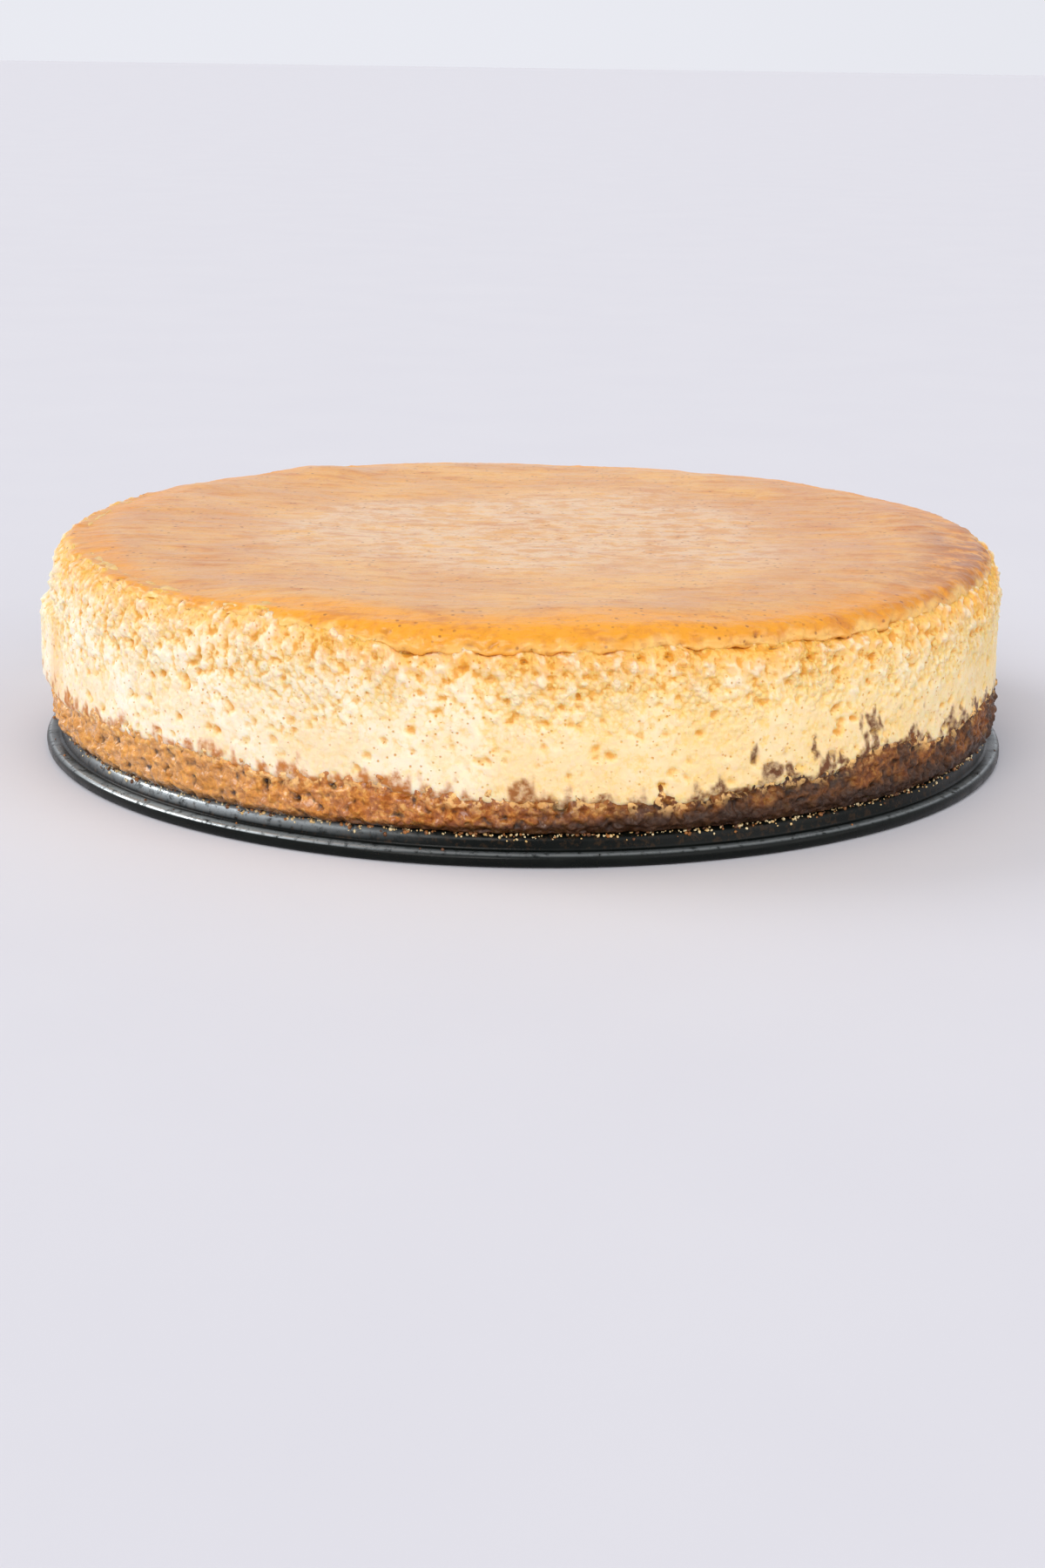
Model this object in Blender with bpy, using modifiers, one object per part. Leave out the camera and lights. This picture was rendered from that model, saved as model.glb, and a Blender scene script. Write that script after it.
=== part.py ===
"""A whole round baked cheesecake, still standing on the loose base of its springform tin.

Three solids: the stamped tin base, the biscuit crumb base that climbs a little way up the side,
and the baked filling with its rounded, browned shoulder. Metres, +Z up, origin on the surface
that the tin base stands on, at the centre of the cake.
"""

import math

import bpy
from mathutils import Vector, noise

# Driving dimensions of the cake, in metres.
SIDE_RADIUS = 0.1141
CAKE_TOP = 0.0505
SHOULDER_WIDTH = 0.0079
SHOULDER_DROP = 0.0132
CENTRE_DIP = 0.0017
CRUST_DEEP = 0.0080
GAP = 0.0003

# The stamped tin base.
TIN_FLANGE_RADIUS = 0.1162
TIN_PLATEAU_RADIUS = 0.1108
TIN_HEIGHT = 0.0060
TIN_SHEET = 0.0010
TIN_BEND_RADIUS = 0.0018
TIN_FLANGE_TOP = 0.0027
TIN_ROLL_RADIUS = 0.0012
TIN_RIM_WIDTH = 0.0013

# The skin's edge, part of the way down the shoulder, which overhangs the curd in a shallow crack.
SKIN_EDGE_TURN = 42
CRACK_DROP = 0.0014
CRACK_DEPTH = 0.0009

# How finely each turned body is divided.
CAKE_STEPS = 96
TIN_STEPS = 80
ARC_POINTS = 4
MERGE_DISTANCE = 0.00002

# The crumb base, which stands on the tin base and carries the filling.
CRUST_FOOT_Z = TIN_HEIGHT + GAP
CRUST_TOP_Z = CRUST_FOOT_Z + CRUST_DEEP
CRUST_FOOT_RADIUS = SIDE_RADIUS - 0.0016
CLIMB_WIDTH = 0.022

BISCUIT_BROWN = (0.36, 0.15, 0.045, 1.0)
CREAM_YELLOW = (0.86, 0.68, 0.38, 1.0)
TIN_BLACK = (0.018, 0.022, 0.022, 1.0)


def clear_scene():
    """Removes whatever the startup file holds."""
    for thing in list(bpy.data.objects):
        bpy.data.objects.remove(thing)


def smooth_step(value):
    """A share from 0 to 1 with no kink at either end."""
    share = min(1.0, max(0.0, value))
    return share * share * (3.0 - 2.0 * share)


def bump(distance, half_width):
    """A soft hill, 1 at no distance and 0 from half_width on."""
    return 1.0 - smooth_step(abs(distance) / half_width)


def angle_between(angle, middle):
    """The signed turn from middle to angle, in radians, the short way round."""
    return math.remainder(angle - middle, math.tau)


def arc(centre, radius, start, end, points):
    """Points (radius from the axis, height) along a circular arc; the angles are in degrees."""
    turns = [math.radians(start + (end - start) * i / (points - 1)) for i in range(points)]
    return [(centre[0] + radius * math.cos(t), centre[1] + radius * math.sin(t)) for t in turns]


def shoulder_point(degrees):
    """A point of the soft shoulder, from 90 degrees at the rim of the top to 0 at the side."""
    turn = math.radians(degrees)
    radius = SIDE_RADIUS - SHOULDER_WIDTH + SHOULDER_WIDTH * math.cos(turn)
    return radius, CAKE_TOP - SHOULDER_DROP + SHOULDER_DROP * math.sin(turn)


def top_height(radius):
    """Height of the skin at a radius: a low rim near the edge and a sunken middle."""
    reach = radius / (SIDE_RADIUS - SHOULDER_WIDTH)
    return CAKE_TOP - CENTRE_DIP * (1.0 - smooth_step(reach * reach))


def interface_profile(height):
    """The meeting of crumb base and filling, from the cake's side to its axis."""
    shares = (1.0, 0.965, 0.92, 0.84, 0.55, 0.0)
    return [(SIDE_RADIUS * share, height) for share in shares]


def filling_profile():
    """The filling's outline from the axis over the top, down the side and back underneath."""
    rim = SIDE_RADIUS - SHOULDER_WIDTH
    top = [(rim * share, top_height(rim * share)) for share in (0.0, 0.2, 0.42, 0.64, 0.82, 0.93)]
    skin = [shoulder_point(degrees) for degrees in (90, 74, 58, SKIN_EDGE_TURN)]
    edge_radius, edge_height = skin[-1]
    crack = [
        (edge_radius - CRACK_DEPTH, edge_height - 0.5 * CRACK_DROP),
        (edge_radius + 0.0004, edge_height - CRACK_DROP),
    ]
    lowest = CRUST_TOP_Z + GAP
    tall = CAKE_TOP - SHOULDER_DROP - lowest
    side = [shoulder_point(14)] + [(SIDE_RADIUS, lowest + tall * s) for s in (0.96, 0.6, 0.28)]
    return top + skin + crack + side + interface_profile(lowest)


def crust_profile():
    """The crumb base's outline from the axis along its top, down its side and back underneath."""
    inner_top = list(reversed(interface_profile(CRUST_TOP_Z)))
    foot = [
        (SIDE_RADIUS - 0.0003, CRUST_FOOT_Z + 0.6 * CRUST_DEEP),
        (SIDE_RADIUS - 0.0008, CRUST_FOOT_Z + 0.25 * CRUST_DEEP),
        (CRUST_FOOT_RADIUS, CRUST_FOOT_Z),
    ]
    return inner_top + foot + [(0.6 * SIDE_RADIUS, CRUST_FOOT_Z), (0.0, CRUST_FOOT_Z)]


def tin_profile():
    """The stamped tin base's outline: over the plateau to the rolled rim, back underneath."""
    bend_z = TIN_HEIGHT - TIN_BEND_RADIUS
    middle = [(0.0, TIN_HEIGHT), (0.55 * TIN_PLATEAU_RADIUS, TIN_HEIGHT)]
    shoulder = arc((TIN_PLATEAU_RADIUS, bend_z), TIN_BEND_RADIUS, 90, 10, ARC_POINTS)
    wall_radius = TIN_PLATEAU_RADIUS + TIN_BEND_RADIUS
    flange = [(wall_radius + 0.0001, TIN_FLANGE_TOP + 0.0006), (wall_radius + 0.0008, TIN_FLANGE_TOP)]
    roll_radius = TIN_FLANGE_RADIUS - TIN_ROLL_RADIUS
    roll = arc((roll_radius, TIN_FLANGE_TOP - TIN_ROLL_RADIUS), TIN_ROLL_RADIUS, 90, 0, ARC_POINTS)
    rim_outer = TIN_FLANGE_RADIUS - 0.0005
    rim = [(TIN_FLANGE_RADIUS, 0.0005), (rim_outer, 0.0), (rim_outer - TIN_RIM_WIDTH, 0.0)]
    inner_bend = TIN_BEND_RADIUS - TIN_SHEET
    inner_radius = TIN_PLATEAU_RADIUS + inner_bend
    inner_rim = rim_outer - TIN_RIM_WIDTH
    inner = [(inner_rim, TIN_FLANGE_TOP - TIN_SHEET), (inner_radius, TIN_FLANGE_TOP - TIN_SHEET)]
    inner_shoulder = arc((TIN_PLATEAU_RADIUS, bend_z), inner_bend, 10, 90, 3)
    under = TIN_HEIGHT - TIN_SHEET
    inner_middle = [(0.55 * TIN_PLATEAU_RADIUS, under), (0.0, under)]
    return middle + shoulder + flange + roll + rim + inner + inner_shoulder + inner_middle


def turn_profile(name, profile, steps, collection):
    """A new object: the profile, a chain of edges in the XZ plane, turned about the Z axis."""
    mesh = bpy.data.meshes.new(name)
    chain = [(i, i + 1) for i in range(len(profile) - 1)]
    mesh.from_pydata([(radius, 0.0, height) for radius, height in profile], chain, [])
    turned = bpy.data.objects.new(name, mesh)
    collection.objects.link(turned)
    screw = turned.modifiers.new("turn", "SCREW")
    screw.axis = "Z"
    screw.steps = screw.render_steps = steps
    screw.use_merge_vertices = True
    screw.merge_threshold = MERGE_DISTANCE
    return turned


def settle_mesh(thing):
    """Replaces the object's mesh and modifiers by its evaluated mesh, so that it can be shaped."""
    bpy.context.view_layer.update()
    graph = bpy.context.evaluated_depsgraph_get()
    baked = bpy.data.meshes.new_from_object(thing.evaluated_get(graph))
    old = thing.data
    thing.modifiers.clear()
    thing.data = baked
    bpy.data.meshes.remove(old)
    baked.name = thing.name


def crumb_climb(angle):
    """How far the crumb base climbs the side at an angle; it is pressed higher towards +X."""
    pressed = 0.0050 * bump(angle_between(angle, math.radians(-20)), math.radians(58))
    back = 0.0024 * bump(angle_between(angle, math.radians(100)), math.radians(75))
    left = 0.0021 * bump(angle_between(angle, math.radians(205)), math.radians(65))
    ripple = 0.0005 * math.sin(7 * angle + 0.6) + 0.0005 * math.sin(13 * angle + 2.1)
    return pressed + back + left + ripple


def side_swell(angle, height):
    """How far the side stands out from a true cylinder at an angle and height."""
    place = Vector((2.2 * math.cos(angle), 2.2 * math.sin(angle), 55.0 * height))
    soft = 0.0007 * noise.noise(place)
    turned = angle_between(angle, math.radians(181))
    stuck_skin = 0.0022 * bump(turned, math.radians(17)) * bump(height - 0.026, 0.0115)
    barrel = 0.0005 * bump(height - 0.030, 0.022)
    return soft + stuck_skin + barrel


def top_lift(angle, radius):
    """How far the skin rises or sinks from its turned form."""
    x, y = radius * math.cos(angle), radius * math.sin(angle)
    soft = 0.0005 * noise.noise(Vector((28.0 * x, 28.0 * y, 3.0)))
    near_rim = smooth_step((radius - 0.080) / 0.022)
    rim_wave = 0.0005 * math.sin(3 * angle + 0.8) + 0.0003 * math.sin(8 * angle)
    blister = 0.0011 * bump(angle_between(angle, math.radians(124)), math.radians(9))
    swell = 0.0006 * bump(math.hypot(x - 0.006, y - 0.012), 0.026)
    return soft + near_rim * (rim_wave + blister) + swell


def edge_lift(angle):
    """How far the skin's edge lies above its lowest height; it is highest towards -X."""
    left = 0.0030 * bump(angle_between(angle, math.radians(172)), math.radians(76))
    right = 0.0012 * bump(angle_between(angle, math.radians(10)), math.radians(60))
    return left + right


def shape_cake(thing, is_filling):
    """Moves a turned body's points to the uneven outline of a baked and unmoulded cake."""
    lowest = CRUST_TOP_Z + GAP
    tall = CAKE_TOP - SHOULDER_DROP - lowest
    edge_z = shoulder_point(SKIN_EDGE_TURN)[1]
    for vertex in thing.data.vertices:
        x, y, height = vertex.co
        radius = math.hypot(x, y)
        angle = math.atan2(y, x)
        outer = smooth_step((radius - SIDE_RADIUS + CLIMB_WIDTH) / CLIMB_WIDTH)
        climb = crumb_climb(angle) * outer
        if is_filling:
            rise = climb * (1.0 - smooth_step((height - lowest) / tall))
            on_skin = smooth_step((height - edge_z) / (CAKE_TOP - edge_z))
            rise += top_lift(angle, radius) * on_skin
            near_edge = bump(height - edge_z + 0.5 * CRACK_DROP, 0.0045) * outer
            rise += edge_lift(angle) * near_edge
            radius -= 0.45 * edge_lift(angle) * near_edge
        else:
            rise = climb * (height - CRUST_FOOT_Z) / CRUST_DEEP
        height += rise
        swell = side_swell(angle, height) * smooth_step((radius - 0.095) / 0.018)
        radius += swell * smooth_step((height - CRUST_FOOT_Z) / 0.006)
        vertex.co = (radius * math.cos(angle), radius * math.sin(angle), height)


def food_material(name, colour, roughness, metallic=0.0):
    """A plain Principled material of one colour."""
    material = bpy.data.materials.new(name)
    material.use_nodes = True
    shader = material.node_tree.nodes["Principled BSDF"]
    shader.inputs["Base Color"].default_value = colour
    shader.inputs["Roughness"].default_value = roughness
    shader.inputs["Metallic"].default_value = metallic
    material.diffuse_color = colour
    return material


def finish(thing, material):
    """Gives a body its material and smooth shading."""
    thing.data.materials.clear()
    thing.data.materials.append(material)
    thing.data.shade_smooth()
    thing.data.set_sharp_from_angle(angle=math.radians(40))


def make_tin_base(collection):
    """The stamped base of the springform tin: a raised plateau and a narrow flange."""
    tin = turn_profile("tin_base", tin_profile(), TIN_STEPS, collection)
    settle_mesh(tin)
    finish(tin, food_material("tin_coating", TIN_BLACK, 0.35, 0.6))
    return tin


def make_crumb_base(collection):
    """The pressed biscuit crumb base, thin in the middle and pressed up the side."""
    crumbs = turn_profile("crumb_base", crust_profile(), CAKE_STEPS, collection)
    settle_mesh(crumbs)
    shape_cake(crumbs, is_filling=False)
    finish(crumbs, food_material("biscuit_crumb", BISCUIT_BROWN, 0.6))
    return crumbs


def make_filling(collection):
    """The baked filling: one body from the crumb base to the browned top."""
    filling = turn_profile("filling", filling_profile(), CAKE_STEPS, collection)
    settle_mesh(filling)
    shape_cake(filling, is_filling=True)
    finish(filling, food_material("baked_filling", CREAM_YELLOW, 0.5))
    return filling


def main():
    """Builds the cake's three bodies in their own collection."""
    clear_scene()
    collection = bpy.data.collections.new("baked_cheesecake")
    bpy.context.scene.collection.children.link(collection)
    make_tin_base(collection)
    make_crumb_base(collection)
    make_filling(collection)


main()
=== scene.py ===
"""A whole baked cheesecake on the loose base of its springform tin, dressed over its CAD frame.

The cake is four pieces: the porous curd of its side, the glossy baked skin with its rolled edge,
the buttery biscuit base, and the dark tin base, with loose crumbs and beads of butter round its
foot. Each is turned from a profile, then sculpted by fields of noise and stamped hollows.
Metres, +Z up, the cake's axis on Z and the side that is seen first towards -Y.
"""

import logging
import math
from dataclasses import dataclass
from enum import Enum
from typing import Any, Callable, Optional, Union

import bpy
import numpy as np
from mathutils import Euler, Matrix, Vector


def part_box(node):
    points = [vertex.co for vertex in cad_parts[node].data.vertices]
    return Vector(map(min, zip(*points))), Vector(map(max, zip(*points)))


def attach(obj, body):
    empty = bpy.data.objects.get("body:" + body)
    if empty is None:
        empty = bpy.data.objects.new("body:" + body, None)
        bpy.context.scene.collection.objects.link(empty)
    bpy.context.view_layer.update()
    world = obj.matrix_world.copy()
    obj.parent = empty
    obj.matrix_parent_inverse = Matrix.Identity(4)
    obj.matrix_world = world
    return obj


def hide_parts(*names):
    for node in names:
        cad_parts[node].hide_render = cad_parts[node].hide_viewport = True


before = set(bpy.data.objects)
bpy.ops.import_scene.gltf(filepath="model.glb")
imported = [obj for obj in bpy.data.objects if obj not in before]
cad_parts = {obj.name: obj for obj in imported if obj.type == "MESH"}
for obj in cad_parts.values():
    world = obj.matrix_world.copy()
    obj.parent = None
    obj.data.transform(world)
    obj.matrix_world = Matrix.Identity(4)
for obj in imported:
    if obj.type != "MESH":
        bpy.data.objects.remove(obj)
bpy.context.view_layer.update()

LOG = logging.getLogger("cheesecake")
MM = 0.001
SPIN_STEPS = 162
LEVEL_WITHIN = 0.001 * MM  # points this close in height and radius lie on one ring
OPAQUE = 1.0
MIX_INPUTS, MIX_RESULT = (0, 6, 7), 2  # a colour mix's share, first and second; its result

Colour = tuple[float, float, float]
Profile = list[tuple[float, float]]
Table = tuple[tuple[float, float, float], ...]
Operand = Union["Shade", float]


def smooth(value: np.ndarray) -> np.ndarray:
    """A share from 0 to 1 that leaves 0 and reaches 1 without a kink."""
    share = np.clip(value, 0.0, 1.0)
    return share * share * (3.0 - 2.0 * share)


def hill(distance: np.ndarray, half_width: float) -> np.ndarray:
    """1 at no distance, falling softly to 0 at half_width."""
    return 1.0 - smooth(np.abs(distance) / half_width)


def turn_from(angle: np.ndarray, degrees: float) -> np.ndarray:
    """How many degrees an angle in radians lies from a bearing, the short way round."""
    return (np.degrees(angle) - degrees + 180.0) % 360.0 - 180.0


def swells(angle: np.ndarray, table: Table) -> np.ndarray:
    """Soft rises round the axis: bearing and half width in degrees, and height, of each."""
    return sum(high * hill(turn_from(angle, bearing), half) for bearing, half, high in table)


def waves(angle: np.ndarray, table: Table) -> np.ndarray:
    """Even waves round the axis: how many to a turn, their phase and their height."""
    return sum(high * np.sin(count * angle + phase) for count, phase, high in table)


def around_axis(radius: float, angle: float, level: float) -> Vector:
    """A place from its distance from Z, its angle in radians and its height."""
    return Vector((radius * math.cos(angle), radius * math.sin(angle), level))


def srgb(red: int, green: int, blue: int) -> Colour:
    """A linear colour from display values between 0 and 255."""
    shares = [value / 255.0 for value in (red, green, blue)]
    return tuple(s / 12.92 if s <= 0.04045 else ((s + 0.055) / 1.055) ** 2.4 for s in shares)


class GradientNoise:
    """Smooth three-dimensional noise from a seeded table, for whole arrays of points.

    SHIFT keeps the layers' cells apart, and SCATTER is how far a seat lies off its cell's middle.
    """

    TABLE = 256
    STRENGTH = 1.7
    FINER = 2.03
    SHIFT = 17.3
    SCATTER = 0.42

    def __init__(self, seed: int) -> None:
        """Draws the table of slopes.

        Args:
            seed: The number that fixes the table.
        """
        chance = np.random.default_rng(seed)
        order = chance.permutation(self.TABLE)
        self.order = np.concatenate([order, order, order])
        slopes = chance.normal(size=(self.TABLE, 3))
        self.slopes = slopes / np.linalg.norm(slopes, axis=1)[:, None]

    def at(self, points: np.ndarray) -> np.ndarray:
        """Reads the noise.

        Args:
            points: Places, one row each, in cells of the noise.

        Returns:
            One value a row, mostly between -1 and 1.
        """
        cell = np.floor(points).astype(int)
        inside = points - cell
        ease = inside**3 * (inside * (inside * 6.0 - 15.0) + 10.0)
        cell &= self.TABLE - 1
        total = np.zeros(len(points))
        for corner in np.ndindex(2, 2, 2):
            x, y, z = (cell + corner).T
            slope = self.slopes[self.order[self.order[self.order[x] + y] + z]]
            share = np.where(np.array(corner) == 1, ease, 1.0 - ease).prod(axis=1)
            total += share * np.einsum("ij,ij->i", slope, inside - corner)
        return self.STRENGTH * total

    def layered(self, points: np.ndarray, layers: int, gain: float = 0.5) -> np.ndarray:
        """Adds finer and fainter layers of the noise.

        Args:
            points: Places, one row each, in cells of the coarsest layer.
            layers: How many layers.
            gain: The strength of each layer against the one before.

        Returns:
            One value a row.
        """
        total, strength = np.zeros(len(points)), 1.0
        for layer in range(layers):
            total += strength * self.at(points * self.FINER**layer + self.SHIFT * layer)
            strength *= gain
        return total

    def cells(self, points: np.ndarray) -> np.ndarray:
        """Distance to the nearest of many scattered seats, one to a cell.

        Args:
            points: Places, one row each, in cells.

        Returns:
            One value a row, 0 at a seat and about 0.7 midway between seats.
        """
        cell = np.floor(points).astype(int)
        nearest = np.full(len(points), np.inf)
        for step in np.ndindex(3, 3, 3):
            corner = cell + step - 1
            x, y, z = (corner & (self.TABLE - 1)).T
            pick = self.order[self.order[self.order[x] + y] + z]
            apart = points - corner - 0.5 - self.SCATTER * self.slopes[pick]
            nearest = np.minimum(nearest, np.einsum("ij,ij->i", apart, apart))
        return np.sqrt(nearest)


class WallMap:
    """Fields laid round the cake's side, as columns by angle and rows by height in millimetres.

    RAGGED bends the outlines of hollows, and MARGIN is the room that the bending needs.
    """

    RAGGED = 0.45
    RAGGED_SIZE = 1.9
    NOISE_SHIFT = 31.7
    LUMP_SHIFT = 47.3
    MARGIN = 1.2

    def __init__(self, radius: float, height: float, cell: float, seed: int) -> None:
        """Lays out the grid.

        Args:
            radius: The side's radius in millimetres.
            height: The highest row in millimetres.
            cell: The spacing of rows and columns in millimetres.
            seed: The number that fixes every random choice on this map.
        """
        self.radius, self.height = radius, height
        self.columns = int(round(math.tau * radius / cell))
        self.rows = int(round(height / cell)) + 1
        self.seed = seed
        self.chance = np.random.default_rng(seed)
        turn = np.arange(self.columns) * math.tau / self.columns
        self.angle, self.level = np.meshgrid(turn, np.linspace(0.0, height, self.rows))
        self.warp = [self.RAGGED * self.noise(self.RAGGED_SIZE, salt) for salt in (70, 71)]

    def noise(
        self, size: float, salt: int, layers: int = 1, tall: float = 1.0, gain: float = 0.5
    ) -> np.ndarray:
        """A field of noise on the map.

        Args:
            size: The size of its lumps in millimetres.
            salt: Tells one field from another.
            layers: How many layers of detail.
            tall: How many times taller than wide its lumps are.
            gain: The strength of each layer against the one before.

        Returns:
            The field, one value a cell.
        """
        x = self.radius * np.cos(self.angle) / size
        y = self.radius * np.sin(self.angle) / size
        z = self.level / (size * tall)
        points = np.stack([x.ravel(), y.ravel(), z.ravel()], axis=1) + self.NOISE_SHIFT
        field = GradientNoise(self.seed + salt).layered(points, layers, gain)
        return field.reshape(self.angle.shape)

    def lumps(self, size: float, salt: int) -> np.ndarray:
        """Rounded lumps packed side by side, with sharp creases between them.

        Args:
            size: The size of a lump in millimetres.
            salt: Tells one field from another.

        Returns:
            The field, from about -0.4 in the creases to 0.5 on the crests.
        """
        bent = self.radius + 2.0 * size * self.warp[0]
        x, y = bent * np.cos(self.angle) / size, bent * np.sin(self.angle) / size
        z = (self.level + 0.5 * size * self.warp[1]) / size
        points = np.stack([x.ravel(), y.ravel(), z.ravel()], axis=1) + self.LUMP_SHIFT
        return 0.5 - GradientNoise(self.seed + salt).cells(points).reshape(self.angle.shape)

    def blank(self) -> np.ndarray:
        """A field of zeros."""
        return np.zeros(self.angle.shape)

    def stamp(
        self,
        field: np.ndarray,
        bearing: float,
        level: float,
        half: tuple[float, float],
        depth: float,
        tilt: float = 0.0,
        power: float = 1.0,
    ) -> None:
        """Deepens a field by one hollow with a ragged outline; overlaps keep the deeper one.

        Args:
            field: The field to change.
            bearing: The hollow's angle in degrees.
            level: Its height in millimetres.
            half: Half its width and half its height in millimetres.
            depth: Its depth at the middle.
            tilt: How far it is turned from level, in degrees.
            power: Above 1 for a pointed floor, below 1 for a flat one.
        """
        reach = max(half) + self.MARGIN
        per_cell = math.tau * self.radius / self.columns
        middle = math.radians(bearing % 360.0) * self.radius / per_cell
        row = level / self.height * (self.rows - 1)
        span = int(reach / per_cell) + 2
        cols = (int(middle) + np.arange(-span, span + 1)) % self.columns
        low, high = max(0, int(row) - span), min(self.rows, int(row) + span + 1)
        if low >= high:
            return
        across = (int(middle) + np.arange(-span, span + 1) - middle) * per_cell
        window = np.ix_(np.arange(low, high), cols)
        along = across[None, :] + self.warp[0][window]
        up = self.level[window] - level + self.warp[1][window]
        cosine, sine = math.cos(math.radians(tilt)), math.sin(math.radians(tilt))
        u = (cosine * along + sine * up) / half[0]
        v = (cosine * up - sine * along) / half[1]
        shape = depth * np.clip(1.0 - u * u - v * v, 0.0, 1.0) ** power
        field[window] = np.maximum(field[window], shape)

    def read(self, field: np.ndarray, angle: np.ndarray, level: np.ndarray) -> np.ndarray:
        """Reads a field between its cells.

        Args:
            field: The field.
            angle: Angles in radians.
            level: Heights in millimetres.

        Returns:
            One value a place.
        """
        column = (angle % math.tau) / math.tau * self.columns
        row = np.clip(level / self.height, 0.0, 1.0) * (self.rows - 1.001)
        c, r = np.floor(column).astype(int), np.floor(row).astype(int)
        s, t = column - c, row - r
        right = (c + 1) % self.columns
        c %= self.columns
        lower = (1 - s) * field[r, c] + s * field[r, right]
        upper = (1 - s) * field[r + 1, c] + s * field[r + 1, right]
        return (1 - t) * lower + t * upper


class Turning:
    """A body turned from a profile, then opened to sculpting as arrays."""

    def __init__(self, name: str, profile: Profile, steps: int, cuts: int) -> None:
        """Models the turned body: a point, extruded along its profile and spun about Z.

        Args:
            name: The piece's name.
            profile: Radius and height of each ring in metres, in order.
            steps: How many sides the spin makes.
            cuts: How many more rings of points each side is cut by.
        """
        bpy.ops.object.select_all(action="DESELECT")
        last, rest = profile[0], profile[1:]
        bpy.ops.mesh.primitive_plane_add(size=MM, location=(0.0, 0.0, 0.0))
        self.piece = bpy.context.object
        self.piece.name = self.piece.data.name = name
        bpy.ops.object.mode_set(mode="EDIT")
        bpy.ops.mesh.select_all(action="SELECT")
        bpy.ops.mesh.merge(type="CENTER")
        bpy.ops.transform.translate(value=(last[0], 0.0, last[1]))
        for radius, height in rest:
            step = (radius - last[0], 0.0, height - last[1])
            bpy.ops.mesh.extrude_region_move(TRANSFORM_OT_translate={"value": step})
            last = (radius, height)
        bpy.ops.mesh.select_all(action="SELECT")
        bpy.ops.mesh.spin(steps=steps, angle=math.tau, center=(0, 0, 0), axis=(0, 0, 1))
        bpy.ops.mesh.select_all(action="SELECT")
        bpy.ops.mesh.remove_doubles(threshold=0.01 * MM)
        bpy.ops.object.mode_set(mode="OBJECT")
        if cuts:
            self._cut_rings(cuts)
        bpy.ops.object.mode_set(mode="EDIT")
        bpy.ops.mesh.select_all(action="SELECT")
        bpy.ops.mesh.normals_make_consistent(inside=False)
        bpy.ops.object.mode_set(mode="OBJECT")
        x, y, z = self._read().T
        self.angle = np.arctan2(y, x)
        self.radius = np.hypot(x, y) / MM
        self.level = z / MM

    def _read(self) -> np.ndarray:
        """Reads the mesh's points.

        Returns:
            The points as rows of three.
        """
        flat = np.empty(len(self.piece.data.vertices) * 3)
        self.piece.data.vertices.foreach_get("co", flat)
        return flat.reshape(-1, 3)

    def _cut_rings(self, cuts: int) -> None:
        """Cuts every edge that runs round the axis.

        Args:
            cuts: New points on each such edge.
        """
        mesh = self.piece.data
        points = self._read()
        pairs = np.empty(len(mesh.edges) * 2, dtype=int)
        mesh.edges.foreach_get("vertices", pairs)
        first, second = points[pairs[0::2]], points[pairs[1::2]]
        rise = np.abs(first[:, 2] - second[:, 2])
        grow = np.abs(np.hypot(*first[:, :2].T) - np.hypot(*second[:, :2].T))
        around = np.maximum(rise, grow) < LEVEL_WITHIN
        bpy.ops.object.mode_set(mode="EDIT")
        bpy.ops.mesh.select_mode(type="EDGE")
        bpy.ops.mesh.select_all(action="DESELECT")
        bpy.ops.object.mode_set(mode="OBJECT")
        mesh.edges.foreach_set("select", around)
        bpy.ops.object.mode_set(mode="EDIT")
        bpy.ops.mesh.subdivide(number_cuts=cuts, quadcorner="STRAIGHT_CUT")
        bpy.ops.mesh.select_mode(type="VERT")
        bpy.ops.object.mode_set(mode="OBJECT")

    def write(self, radius: np.ndarray, level: np.ndarray) -> None:
        """Moves every point to a new radius and height, at its own angle.

        Args:
            radius: New radii in millimetres.
            level: New heights in millimetres.
        """
        x, y = radius * np.cos(self.angle), radius * np.sin(self.angle)
        moved = np.stack([x, y, level], axis=1)
        self.piece.data.vertices.foreach_set("co", (moved * MM).ravel())
        self.piece.data.update()

    def finish(self, look: "Finish") -> bpy.types.Object:
        """Smooths the piece, dresses it and hands it over.

        Args:
            look: Its finish.

        Returns:
            The finished object.
        """
        self.piece.data.shade_smooth()
        look.dress(self.piece)
        return self.piece

    def paint(self, name: str, values: np.ndarray) -> None:
        """Keeps one value a point, for a finish to read by name."""
        layer = self.piece.data.attributes.new(name, "FLOAT", "POINT")
        layer.data.foreach_set("value", values.astype(np.float32))


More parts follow.
